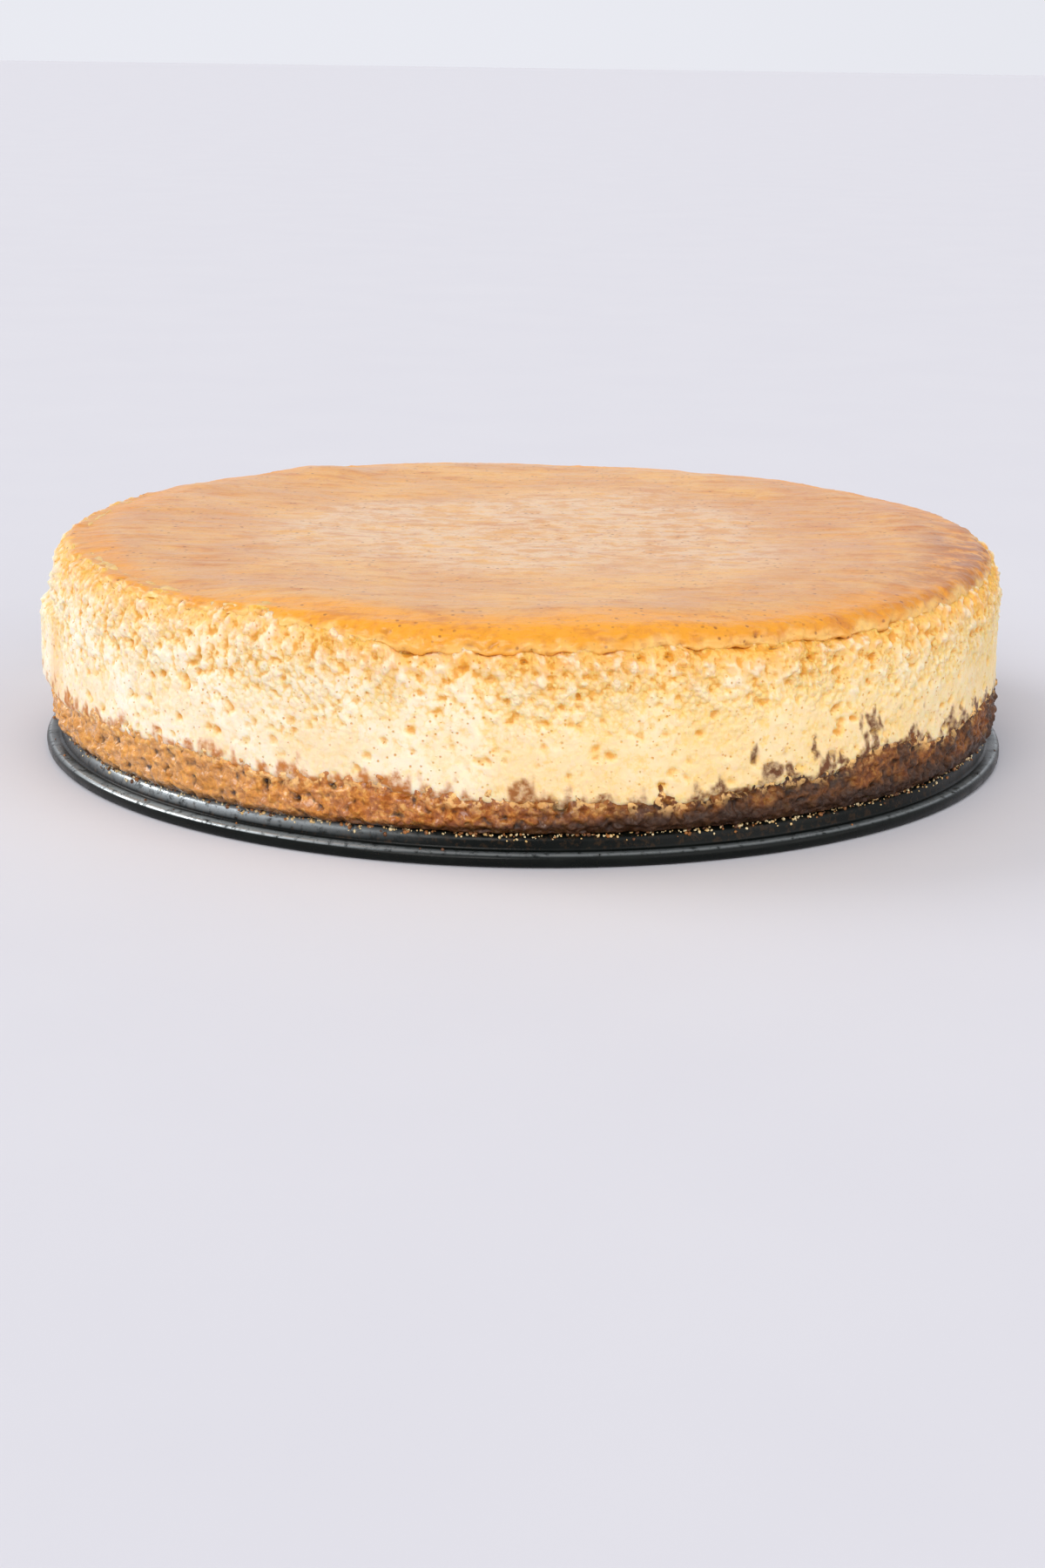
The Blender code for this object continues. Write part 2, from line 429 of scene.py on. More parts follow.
class Shade:
    """A shader socket that takes part in arithmetic: each operator adds one Math node."""

    def __init__(self, wiring: "Wiring", socket: Any) -> None:
        """Wraps a socket of a node tree."""
        self.wiring, self.socket = wiring, socket

    def _math(self, operation: str, *values: Operand) -> "Shade":
        """Adds a Math node.

        Args:
            operation: The node's operation.
            values: Its inputs in order.

        Returns:
            The node's result.
        """
        inputs = dict(enumerate(values))
        return self.wiring.node("ShaderNodeMath", inputs, operation=operation)

    def __add__(self, other: Operand) -> "Shade":
        """self + other."""
        return self._math("ADD", self, other)

    def __sub__(self, other: Operand) -> "Shade":
        """self - other."""
        return self._math("SUBTRACT", self, other)

    def __rsub__(self, other: float) -> "Shade":
        """other - self."""
        return self._math("SUBTRACT", other, self)

    def __mul__(self, other: Operand) -> "Shade":
        """self * other."""
        return self._math("MULTIPLY", self, other)

    __radd__ = __add__
    __rmul__ = __mul__

    def between(self, low: float, high: float) -> "Shade":
        """A soft ramp.

        Args:
            low: Where it is 0; it may be the larger.
            high: Where it is 1.

        Returns:
            The ramp's value.
        """
        inputs = {"Value": self, "From Min": low, "From Max": high}
        settings = {"interpolation_type": "SMOOTHSTEP"}
        return self.wiring.node("ShaderNodeMapRange", inputs, **settings)


class Wiring:
    """A node tree in the making."""

    def __init__(self, tree: bpy.types.NodeTree, last: str) -> None:
        """Takes a tree and the name of the node that everything feeds."""
        self.tree, self.last = tree, tree.nodes[last]

    def node(
        self, kind: str, inputs: dict[Any, Any], output: Any = 0, **settings: Any
    ) -> Shade:
        """Adds any node.

        Args:
            kind: The node's type.
            inputs: Values or links of its sockets, by name or number.
            output: Which of its outputs to hand back.
            settings: The node's own settings, set before its inputs.

        Returns:
            The chosen output.
        """
        node = self.tree.nodes.new(kind)
        for key, value in settings.items():
            setattr(node, key, value)
        for key, value in inputs.items():
            if isinstance(value, Shade):
                self.tree.links.new(value.socket, node.inputs[key])
            else:
                node.inputs[key].default_value = value
        return Shade(self, node.outputs[output])

    def feed(self, **values: Any) -> None:
        """Links or sets the last node's sockets.

        Args:
            values: A result or a value for each socket, with _ for a space in its name.
        """
        for name, value in values.items():
            socket = self.last.inputs[name.replace("_", " ")]
            if isinstance(value, Shade):
                self.tree.links.new(value.socket, socket)
            else:
                socket.default_value = value

    def axes(self, where: Shade) -> list[Shade]:
        """The three coordinates of a place as separate values."""
        split = self.node("ShaderNodeSeparateXYZ", {"Vector": where}).socket.node
        return [Shade(self, output) for output in split.outputs]


class Recipe(Wiring):
    """A Principled material in the making."""

    def __init__(self, name: str, **fixed: Any) -> None:
        """Starts a material.

        Args:
            name: The material's name.
            fixed: Uniform values of the shader's own sockets, with _ for a space.
        """
        self.material = bpy.data.materials.new(name)
        self.material.use_nodes = True
        super().__init__(self.material.node_tree, "Principled BSDF")
        self.feed(**fixed)

    def place(self, stretch: Colour = (1.0, 1.0, 1.0)) -> Shade:
        """Object coordinates in millimetres, stretched along each axis.

        Args:
            stretch: How many times longer the pattern is along X, Y and Z.

        Returns:
            The coordinates.
        """
        where = self.node("ShaderNodeTexCoord", {}, "Object")
        scale = tuple(1.0 / (MM * share) for share in stretch)
        return self.node("ShaderNodeMapping", {"Vector": where, "Scale": scale})

    def noise(
        self, where: Shade, size: float, detail: float = 2.0, rough: float = 0.5
    ) -> Shade:
        """Noise from 0 to 1.

        Args:
            where: Coordinates in millimetres.
            size: The size of its lumps in millimetres.
            detail: How many finer layers it has.
            rough: How strong they are.

        Returns:
            The noise.
        """
        inputs = {"Vector": where, "Scale": 1.0 / size, "Detail": detail, "Roughness": rough}
        return self.node("ShaderNodeTexNoise", inputs)

    def cells(self, where: Shade, size: float) -> Shade:
        """Distance to the nearest of scattered seats, one to a cell of a size in millimetres."""
        inputs = {"Vector": where, "Scale": 1.0 / size, "Randomness": 1.0}
        return self.node("ShaderNodeTexVoronoi", inputs)

    def spots(self, where: Shade, size: float, reach: float, edge: float) -> Shade:
        """Round spots scattered one to a cell.

        Args:
            where: Coordinates in millimetres.
            size: The size of a cell in millimetres.
            reach: A spot's radius as a share of the cell.
            edge: How soft its edge is.

        Returns:
            1 in a spot and 0 outside.
        """
        return self.cells(where, size).between(reach, reach - edge)

    def mix(self, share: Operand, first: Any, second: Any) -> Shade:
        """Two colours mixed.

        Args:
            share: 0 for the first, 1 for the second.
            first: A colour or a link.
            second: A colour or a link.

        Returns:
            The mixed colour.
        """
        pair = [c if isinstance(c, Shade) else (*c, OPAQUE) for c in (first, second)]
        inputs = dict(zip(MIX_INPUTS, (share, *pair)))
        return self.node("ShaderNodeMix", inputs, MIX_RESULT, data_type="RGBA")

    def over(self, colour: Any, *coats: tuple[Operand, Any]) -> Shade:
        """Lays coats of colour one over another.

        Args:
            colour: The ground: a colour or a link.
            coats: The share and the colour of each coat, from the lowest up.

        Returns:
            The mixed colour.
        """
        for share, coat in coats:
            colour = self.mix(share, colour, coat)
        return colour

    def dress(self, piece: bpy.types.Object, **links: Shade) -> None:
        """Feeds the shader and gives the material to a piece."""
        self.feed(**links)
        piece.data.materials.append(self.material)

    def painted(self, name: str) -> Shade:
        """A value that was kept on the mesh's points."""
        return self.node("ShaderNodeAttribute", {}, "Fac", attribute_name=name)

    def bump(self, height: Shade, depth: float, normal: Optional[Shade] = None) -> Shade:
        """A bumped normal.

        Args:
            height: The relief from 0 to 1.
            depth: How tall it is in millimetres.
            normal: A normal to build on.

        Returns:
            The normal.
        """
        inputs = {"Height": height, "Distance": depth * MM, "Strength": 1.0}
        if normal is not None:
            inputs["Normal"] = normal
        return self.node("ShaderNodeBump", inputs)


@dataclass(frozen=True)
class Finish:
    """The look of one surface."""

    def dress(self, piece: bpy.types.Object) -> None:
        """Gives a piece its material."""
        raise NotImplementedError


@dataclass(frozen=True)
class CurdFinish(Finish):
    """Pale baked custard, golden under the skin and smeared with crumb, with painted shade in its
    creases, pores and hollows and towards +X, and painted highlights on its crests.
    """

    cream: Colour = srgb(252, 226, 188)
    ivory: Colour = srgb(254, 240, 218)
    butter: Colour = srgb(250, 206, 112)
    # golden and dark brown fills, used for painted shade in creases, pores and hollows
    amber_shade: Colour = srgb(234, 162, 40)
    cavity_shade: Colour = srgb(120, 64, 24)
    golden: Colour = srgb(242, 172, 62)
    crumb: Colour = srgb(196, 122, 50)
    dark_crumb: Colour = srgb(110, 62, 22)

    def dress(self, piece: bpy.types.Object) -> None:
        """Gives a piece this look.

        Args:
            piece: The piece.
        """
        recipe = Recipe(
            "baked_curd",
            Subsurface_Weight=0.6,
            Subsurface_Scale=0.0018,
            Subsurface_Radius=(1.0, 0.6, 0.22),
            Specular_IOR_Level=0.45,
        )
        where = recipe.place()
        patches = recipe.noise(where, 13.0, 3.0, 0.6)
        mottle = recipe.noise(where, 2.2, 3.0, 0.65)
        grain = recipe.noise(where, 0.7, 3.0, 0.7)
        granules = recipe.cells(where, 1.25)
        loose, recess = recipe.painted("loose"), recipe.painted("recess")
        along_x = recipe.axes(where)[0]
        # painted shade: more butter yellow towards +X, away from the key light, mixed with random
        # mottle
        shade_and_mottle = along_x.between(-70.0, 60.0) * 0.5 + mottle.between(0.5, 0.72) * 0.35
        # painted shade: a mask of recesses and of creases between lumps, filled golden
        ragged = recess + (grain - 0.5) * 0.5 + granules.between(0.4, 0.8) * loose * 0.45
        specks = recipe.spots(recipe.place((1.6, 1.6, 1.0)), 1.05, 0.16, 0.1)
        # pores are real dents in the bump; their golden fill is painted shade
        pores = recipe.spots(where, 1.7, 0.2, 0.12) * patches.between(0.35, 0.55)
        pores = pores + specks * recipe.noise(where, 5.0).between(0.48, 0.6)
        smeared = recipe.noise(where, 1.8, 3.0, 0.6).between(0.3, 0.62) * 0.65 + 0.35
        brown = recipe.mix(recipe.painted("darkness"), self.crumb, self.dark_crumb)
        colour = recipe.over(
            self.cream,
            (patches.between(0.36, 0.64), self.ivory),
            (shade_and_mottle, self.butter),
            (recipe.painted("toast"), self.golden),
            # painted highlight: ivory on the crests of the lumps
            (recess.between(0.0, -0.6) * 0.5, self.ivory),
            # painted shade: butter, then deep golden, in the creases and pores
            (ragged.between(0.02, 0.45) * 0.6, self.butter),
            (ragged.between(0.35, 0.95) * 0.8, self.amber_shade),
            (pores * 0.75, self.amber_shade),
            # painted shade: dark brown in the deepest hollows
            (recipe.painted("hollow").between(1.2, 2.1), self.cavity_shade),
            (recipe.painted("smear") * smeared, brown),
        )
        open_crumb = loose * patches.between(0.62, 0.4)
        relief = recipe.bump(granules * open_crumb * -1.0, 0.7)
        relief = recipe.bump(mottle * 0.7 + grain * 0.3, 0.22, relief)
        relief = recipe.bump(1.0 - pores, 0.25, relief)
        rough = 0.55 - recipe.noise(where, 5.0).between(0.4, 0.7) * 0.2
        recipe.dress(piece, Base_Color=colour, Roughness=rough, Normal=relief)


@dataclass(frozen=True)
class SkinFinish(Finish):
    """Glossy baked skin: tan on the flat, orange on the shoulder, browner towards +X from baking
    and painted shade, with a painted pale sheen over the middle of the top and painted shade in its
    pits and creases.
    """

    tan: Colour = srgb(214, 150, 74)
    honey: Colour = srgb(234, 174, 80)
    golden: Colour = srgb(236, 158, 26)
    toffee: Colour = srgb(190, 108, 44)
    brown: Colour = srgb(140, 74, 28)
    speck: Colour = srgb(122, 62, 22)
    pale: Colour = srgb(248, 204, 120)
    # the pale pinkish colour of the painted sheen
    rose_sheen: Colour = srgb(228, 190, 146)

    def dress(self, piece: bpy.types.Object) -> None:
        """Gives a piece this look.

        Args:
            piece: The piece.
        """
        recipe = Recipe(
            "baked_skin",
            Subsurface_Weight=0.15,
            Subsurface_Scale=0.002,
            Subsurface_Radius=(1.0, 0.5, 0.2),
            Specular_IOR_Level=0.4,
            Coat_Weight=0.3,
            Coat_Roughness=0.2,
        )
        where = recipe.place()
        along_x = recipe.axes(where)[0]
        clouds = recipe.noise(where, 26.0, 4.0, 0.6)
        blotch = recipe.noise(where, 7.0, 4.0, 0.65)
        streaks = recipe.noise(recipe.place((3.0, 1.0, 1.0)), 4.0, 3.0, 0.6)
        grain = recipe.noise(where, 0.9, 2.0)
        soft = recipe.noise(where, 3.2, 4.0, 0.65)
        # painted reflection: a pale pinkish sheen of the bright surround over the middle of the top
        inner = recipe.painted("inner") * (streaks + blotch).between(0.86, 1.08)
        shoulder = (recipe.painted("shoulder") * 1.3 + streaks - 0.65).between(0.1, 1.0)
        # browner towards +X, partly baking and partly painted shade away from the key light; a real
        # darker patch towards -X
        sides = along_x.between(20.0, 112.0) * 0.45 + along_x.between(-40.0, -105.0) * 0.3
        browning_and_shade = sides * blotch.between(0.3, 0.6) + blotch.between(0.45, 0.25) * 0.3
        some = recipe.noise(where, 9.0).between(0.4, 0.58)
        specks = recipe.spots(where, 2.4, 0.23, 0.14) * some * 0.65
        freckles = recipe.spots(recipe.place((1.3, 1.0, 1.0)), 1.4, 0.22, 0.12) * 0.28
        colour = recipe.over(
            self.tan,
            (clouds.between(0.36, 0.66) * 0.8, self.honey),
            (blotch.between(0.5, 0.72) * 0.5, self.golden),
            (inner * 0.9, self.rose_sheen),
            (shoulder, self.golden),
            (browning_and_shade, self.toffee),
            # dark brown at the rim towards +X, partly baking colour and partly painted shade
            (recipe.painted("scorch_and_shade") * blotch.between(0.35, 0.6), self.brown),
            (streaks.between(0.54, 0.72) * 0.5, self.toffee),
            (recipe.painted("pale") * 0.8, self.pale),
            # painted shade: brown in the pits and creases along the lower edge
            (recipe.painted("hollow").between(0.15, 1.3), self.brown),
            (soft.between(0.5, 0.68) * 0.32, self.toffee),
            (freckles * blotch.between(0.4, 0.6), self.brown),
            (specks, self.speck),
        )
        rough = 0.33 + streaks.between(0.4, 0.7) * 0.16 + grain * 0.08
        relief = recipe.bump(streaks + blotch, 0.55)
        relief = recipe.bump(grain - specks, 0.1, relief)
        recipe.dress(piece, Base_Color=colour, Roughness=rough, Normal=relief)


@dataclass(frozen=True)
class BiscuitFinish(Finish):
    """Pressed buttery crumb, orange brown to dark brown, glistening on its crests, with painted
    light towards -X, painted shade in its gaps and creases, and a darker foot.
    """

    biscuit: Colour = srgb(216, 134, 50)
    light: Colour = srgb(246, 186, 98)
    deep: Colour = srgb(166, 86, 22)
    dark: Colour = srgb(96, 56, 22)
    darkest: Colour = srgb(58, 32, 10)
    # the darkest brown: baked colour at the foot and painted shade in creases
    scorch_and_shade: Colour = srgb(48, 25, 8)
    cream: Colour = srgb(252, 200, 126)

    def dress(self, piece: bpy.types.Object) -> None:
        """Gives a piece this look.

        Args:
            piece: The piece.
        """
        recipe = Recipe(
            "buttery_biscuit",
            Specular_IOR_Level=0.35,
            Subsurface_Weight=0.12,
            Subsurface_Scale=0.0015,
            Subsurface_Radius=(1.0, 0.5, 0.2),
            Coat_Roughness=0.12,
        )
        where = recipe.place()
        along_x = recipe.axes(where)[0]
        crumbs = recipe.cells(where, 1.5)
        tone = recipe.noise(where, 1.7, 3.0, 0.65)
        tones = tone.between(0.36, 0.62)
        patches = recipe.noise(where, 6.0, 2.0)
        darkness = recipe.painted("darkness")
        brown = recipe.mix(tones, self.darkest, self.dark)
        creases = recipe.painted("hollow") + crumbs.between(0.4, 0.8) * 0.4
        cream = recipe.painted("cream") * recipe.noise(where, 2.6, 3.0, 0.6).between(0.5, 0.57)
        colour = recipe.over(
            self.deep,
            (tones, self.biscuit),
            (tone.between(0.54, 0.72) * 0.8, self.light),
            # painted light: lighter crumb towards -X, the side the key light falls on
            (along_x.between(-15.0, -90.0) * 0.5, self.light),
            (darkness * (patches.between(0.35, 0.6) * 0.35 + 0.65), brown),
            # darker foot where the crumb meets the tin, taller towards +X, partly baked colour and
            # partly painted shade
            (recipe.painted("foot") * 0.85, self.scorch_and_shade),
            # painted shade: darkest in the gaps and creases between crumbs
            (creases.between(0.25, 1.2), self.scorch_and_shade),
            (cream, self.cream),
        )
        relief = recipe.bump(1.0 - crumbs, 0.75)
        relief = recipe.bump(tone, 0.35, relief)
        wet = recipe.noise(where, 3.0, 2.0).between(0.38, 0.56) * (1.0 - darkness * 0.85)
        rough = 0.56 - wet * 0.34
        recipe.dress(piece, Base_Color=colour, Roughness=rough, Coat_Weight=wet, Normal=relief)


@dataclass(frozen=True)
class TinFinish(Finish):
    """Dark greenish non-stick coating, rubbed through to steel along the rim's crest, with a
    painted highlight of bright steel towards the front left.
    """

    coating: Colour = srgb(9, 13, 11)
    dusty: Colour = srgb(20, 25, 22)
    steel: Colour = srgb(198, 206, 208)
    grease: Colour = srgb(74, 52, 30)

    def dress(self, piece: bpy.types.Object) -> None:
        """Gives a piece this look.

        Args:
            piece: The piece.
        """
        recipe = Recipe("tin_coating", Specular_IOR_Level=0.15)
        where = recipe.place()
        smudge = recipe.noise(where, 9.0, 4.0, 0.6)
        fine = recipe.noise(where, 0.8, 2.0)
        grease = recipe.painted("grease") * recipe.noise(where, 1.6, 3.0, 0.7).between(0.5, 0.66)
        # bright steel: rubbed along the rim's crest, and a painted highlight at the front left
        wear_and_sheen = recipe.painted("wear_and_sheen") * recipe.noise(where, 2.2, 3.0, 0.7).between(0.28, 0.52)
        colour = recipe.over(
            self.coating,
            (smudge.between(0.45, 0.75) * 0.5, self.dusty),
            (grease * 0.4, self.grease),
            (wear_and_sheen, self.steel),
        )
        rough = 0.2 + smudge.between(0.35, 0.7) * 0.2 + fine * 0.08
        relief = recipe.bump(fine, 0.03)
        # metallic follows the same mask: the rubbed crest and the painted highlight
        metal = wear_and_sheen * 0.8
        recipe.dress(piece, Base_Color=colour, Roughness=rough, Metallic=metal, Normal=relief)


@dataclass(frozen=True)
class BitFinish(Finish):
    """Loose bits of two colours, mixed by their place."""

    name: str
    first: Colour
    second: Colour
    roughness: float
    coat: float

    def dress(self, piece: bpy.types.Object) -> None:
        """Gives a piece this look.

        Args:
            piece: The piece.
        """
        recipe = Recipe(self.name, Coat_Weight=self.coat, Coat_Roughness=0.08)
        where = recipe.place()
        colour = recipe.mix(recipe.noise(where, 2.0).between(0.4, 0.6), self.first, self.second)
        relief = recipe.bump(recipe.noise(where, 0.3), 0.08)
        rough = self.roughness + recipe.noise(where, 1.0) * 0.1
        recipe.dress(piece, Base_Color=colour, Roughness=rough, Normal=relief)


# Bearing and half width in degrees, and rise in millimetres.
CRUMB_SWELLS = (
    (-160, 62, 2.2),
    (95, 70, 2.0),
    (-14, 44, 5.2),
    (-46, 11, 3.4),
    (-126, 30, 2.7),
    (-58, 17, 2.2),
    (-105, 12, 1.6),
)
SMEAR_SWELLS = ((-50, 36, 2.6), (90, 60, 0.8))
BLISTERS = ((124, 9.0, 1.3), (148, 5.0, 0.5))

# How many to a turn, phase in radians, and height in millimetres.
EDGE_WAVES = ((9, 1.0, 0.3), (23, 0.4, 0.24), (71, 0, 0.19), (113, 2.0, 0.152), (47, 0, 0.133))
CRUMB_WAVES = ((7, 0.6, 0.5), (17, 2.1, 0.4))
RIM_WAVES = ((3, 0.8, 0.3), (8, 0, 0.2))
CRACK_WAVES = ((31, 0.6, 0.28), (53, 0, 0.25))

# Bearing in degrees, drop below the skin's edge and half width in millimetres.
CAVITIES = (
    (-102.5, 0.9, 2.2),
    (-77.8, 1.7, 1.3),
    (-74.8, 2.2, 1.4),
    (-90.0, 2.4, 0.9),
    (-62.5, 0.8, 3.0),
    (-58.0, 4.2, 0.9),
    (-47.0, 0.8, 2.0),
    (20.0, 1.0, 2.0),
    (48.0, 0.8, 2.6),
    (75.0, 1.4, 1.8),
    (102.0, 1.0, 2.2),
    (140.0, 1.2, 1.4),
)


@dataclass
class CakeSizes:
    """The outline that the cake's pieces share, in millimetres."""

    side: float = 114.1
    wide: float = 7.9
    drop: float = 13.2
    top: float = 50.5
    dip: float = 1.6
    edge: float = 45.1
    foot: float = 6.2
    crumb: float = 13.6

    @property
    def rim(self) -> float:
        """The radius at which the flat top ends."""
        return self.side - self.wide

    def turn_at(self, level: np.ndarray) -> np.ndarray:
        """The soft shoulder's angle at a height: a quarter turn at the rim, 0 at the side."""
        return np.arcsin(np.clip((level - self.top + self.drop) / self.drop, 0.0, 1.0))

    def shoulder(self, turn: np.ndarray) -> tuple[np.ndarray, np.ndarray]:
        """Radius and height on the soft shoulder at an angle."""
        radius = self.rim + self.wide * np.cos(turn)
        return radius, self.top - self.drop + self.drop * np.sin(turn)

    def out_from(self, turn: np.ndarray) -> tuple[np.ndarray, np.ndarray]:
        """The outward direction on the soft shoulder, as shares along radius and height.

        Args:
            turn: Angles on the shoulder in radians.

        Returns:
            The direction's two shares at each angle.
        """
        across, up = np.cos(turn) / self.wide, np.sin(turn) / self.drop
        length = np.hypot(across, up)
        return across / length, up / length

    def edge_level(self, angle: np.ndarray) -> np.ndarray:
        """Height of the skin's lower edge: lowest towards -Y, almost at the rim towards -X.

        Args:
            angle: Angles in radians.

        Returns:
            Heights in millimetres.
        """
        left = 2.3 * smooth((86.0 - np.abs(turn_from(angle, 170))) / 16.0)
        right = 1.3 * hill(turn_from(angle, 5), 55)
        return self.edge + left + right + waves(angle, EDGE_WAVES)

    def edge_at(self, bearing: float) -> float:
        """Height of the skin's lower edge at one bearing in degrees."""
        return float(self.edge_level(np.array([math.radians(bearing)]))[0])

    def crumb_line(self, angle: np.ndarray) -> np.ndarray:
        """Height at which the crumb base ends and the curd begins.

        Args:
            angle: Angles in radians.

        Returns:
            Heights in millimetres.
        """
        return self.crumb + swells(angle, CRUMB_SWELLS) + waves(angle, CRUMB_WAVES)

    def openness(self, angle: np.ndarray) -> np.ndarray:
        """How far the crack under the skin gapes, from 0, closed, to 1.

        Args:
            angle: Angles in radians.

        Returns:
            One value an angle.
        """
        front = smooth((16.0 - np.abs(turn_from(angle, -92))) / 7.0)
        right = 0.6 * smooth((24.0 - np.abs(turn_from(angle, -56))) / 9.0)
        back = 0.7 * hill(turn_from(angle, 70), 60)
        return np.clip((front + right + back) * (0.62 + waves(angle, CRACK_WAVES)), 0.0, 1.0)


def darkness(angle: np.ndarray) -> np.ndarray:
    """How dark the crumb is round the cake: darkest towards +X.

    Args:
        angle: Angles in radians.

    Returns:
        A share from 0 to 1.
    """
    along = turn_from(angle, -112)
    return smooth(along / 44.0) * smooth((180.0 - along) / 60.0)


@dataclass
class CurdSide:
    """The porous curd body that shows all round the side."""

    sizes: CakeSizes
    steps: int = SPIN_STEPS
    cuts: int = 7
    lowest: float = 10.0
    past_edge: float = 0.7
    rows: int = 66
    pits: int = 5200
    patch_bearing: float = 187.0
    patch_rise: float = 2.6
    drip_rise: float = 1.8
    crack_depth: float = 1.8
    crack_reach: float = 1.3
    tuck: float = 0.5
    gape: float = 0.6
    band_dip: float = 1.5
    foot_dip: float = 0.6

    @property
    def highest(self) -> float:
        """Height of the uppermost visible row before it follows the skin's edge."""
        return self.sizes.edge + self.past_edge

    def wall_radius(self, level: np.ndarray) -> np.ndarray:
        """The plain side's radius at a height, drawn in a little at the foot."""
        sizes = self.sizes
        return sizes.shoulder(sizes.turn_at(level))[0] - 0.9 * smooth((13.0 - level) / 6.0)

    def profile(self) -> Profile:
        """The body's rings from its underside, up its side and back over its hidden top.

        Returns:
            Radius and height of each ring in metres.
        """
        under = [(0.0, 14.2), (70.0, 14.2), (104.0, 14.0), (110.0, 11.0)]
        levels = np.linspace(self.lowest, self.highest, self.rows)
        wall = list(zip(self.wall_radius(levels), levels))
        over = [(109.0, 46.7), (105.0, 46.8), (70.0, 46.6), (0.0, 46.2)]
        return [(r * MM, z * MM) for r, z in under + wall + over]

    def hollows(self, wall: WallMap) -> np.ndarray:
        """Stamps the pits, cracks and cavities.

        Args:
            wall: The map of the side.

        Returns:
            Their depth in millimetres, a cell.
        """
        field = wall.blank()
        chance = wall.chance
        crowd = wall.noise(17.0, 1, 2)
        for _ in range(self.pits):
            bearing, level = chance.uniform(-180.0, 180.0), chance.uniform(12.0, 46.0)
            here = wall.read(crowd, np.array([math.radians(bearing)]), np.array([level]))[0]
            if here + 0.45 * (level - 27.0) / 16.0 < chance.uniform(-0.8, 0.4):
                continue
            size = 0.3 + 0.85 * chance.random() ** 3.6
            half = (size * chance.uniform(0.9, 1.6), size * chance.uniform(0.75, 1.15))
            deep, tilt = size * chance.uniform(0.7, 1.3), chance.uniform(-35.0, 35.0)
            wall.stamp(field, bearing, level, half, deep, tilt, 0.8)
        for bearing, drop, wide in CAVITIES:
            level = self.sizes.edge_at(bearing) - drop
            wall.stamp(field, bearing, level, (wide, 0.7), 1.8, chance.uniform(-12, 18), 0.8)
        return field

    def relief(self, wall: WallMap) -> tuple[np.ndarray, np.ndarray]:
        """The side's lumps and creases.

        Args:
            wall: The map of the side.

        Returns:
            The whole relief in millimetres, and the crumbling alone.
        """
        near_top = smooth((wall.level - 24.0) / 16.0)
        calm = np.maximum(0.4 + 0.6 * smooth(1.2 * wall.noise(17.0, 2) + 0.5), near_top)
        lumps = 0.85 * wall.lumps(3.8, 3) + 0.3 * wall.noise(2.2, 7, 2)
        curds = wall.lumps(1.6, 4)
        crumbling = (0.5 + 1.2 * near_top) * lumps + (0.3 + 0.65 * near_top) * curds
        shelf = np.abs(wall.noise(5.0, 9, 2, tall=0.5))
        where = smooth(1.6 * wall.noise(12.0, 10, 2) + 0.1) * smooth((wall.level - 19.0) / 8.0)
        crumbling = crumbling * calm - 0.5 * where * smooth((0.1 - shelf) / 0.1)
        whole = crumbling + 0.45 * wall.noise(24.0, 6)
        return whole, crumbling

    def build(self) -> bpy.types.Object:
        """Turns and sculpts the piece.

        Returns:
            The finished object.
        """
        sizes = self.sizes
        body = Turning("curd_side", self.profile(), self.steps, self.cuts)
        wall = WallMap(sizes.side, 52.0, 0.36, seed=11)
        hollow, (relief, lumps) = self.hollows(wall), self.relief(wall)
        angle = body.angle
        edge = sizes.edge_level(angle)
        on_wall = body.radius > self.wall_radius(body.level) - 0.3
        on_wall &= (body.level > self.lowest - 0.01) & (body.level < self.highest + 0.01)
        stretch = (edge + self.past_edge - self.lowest) / (self.highest - self.lowest)
        tall = self.lowest + (body.level - self.lowest) * stretch
        raised = body.level + (edge - sizes.edge) * smooth((body.radius - 100.0) / 9.0)
        level = np.where(on_wall, tall, np.where(body.level > 40.0, raised, body.level))
        turn = sizes.turn_at(level)
        across, up = sizes.out_from(turn)

        pit = wall.read(hollow, angle, level)
        move = wall.read(relief, angle, level) - pit
        line = sizes.crumb_line(angle)
        move -= self.band_dip * smooth((line - level) / 3.0 + 0.1)
        move -= self.foot_dip * smooth((12.5 - level) / 5.0)
        groove = sizes.openness(angle)
        under = level - edge
        move -= self.crack_depth * groove * smooth(under / self.crack_reach + 1.0)
        move -= (self.tuck + self.gape * groove) * smooth(under + 0.3)
        move += self.gape * groove * hill(under + 3.0, 2.4)
        left = turn_from(angle, self.patch_bearing)
        patch = hill(left, 18.0) * smooth((level - 13.5) / 4.0) * smooth((36.0 - level) / 2.6)
        drip = hill(left + 6.0, 4.0) * hill(level - 14.6, 3.4)
        move += self.patch_rise * patch + self.drip_rise * drip
        radius = np.where(on_wall, self.wall_radius(level) + move * across, body.radius)
        body.write(radius, level + np.where(on_wall, move * up, 0.0))

        wave = wall.read(wall.noise(7.0, 12, 3), angle, level)
        depth = -under - 2.5 * wave
        toast = 0.6 * smooth((12.0 - depth) / 12.0) + 0.35 * smooth((4.5 - depth) / 3.5)
        along = turn_from(angle, -125)
        toast *= 0.78 + 0.22 * smooth(along / 60.0) * smooth((180.0 - along) / 60.0)
        toast = np.maximum(toast, smooth((2.6 - depth) / 2.6) * (1.0 - 0.5 * groove))
        rim = hill(left, 24.0) * smooth(1.0 - np.abs(patch - 0.3) / 0.28)
        toast = np.maximum(toast, 0.75 * rim + 0.8 * drip)
        body.paint("toast", np.clip(toast, 0.0, 1.0))
        # recess: read by the finish for painted shade in creases and painted highlights on crests
        body.paint("recess", 0.8 * pit - wall.read(lumps, angle, level))
        body.paint("loose", 0.25 + 0.75 * smooth((level - 22.0) / 16.0))
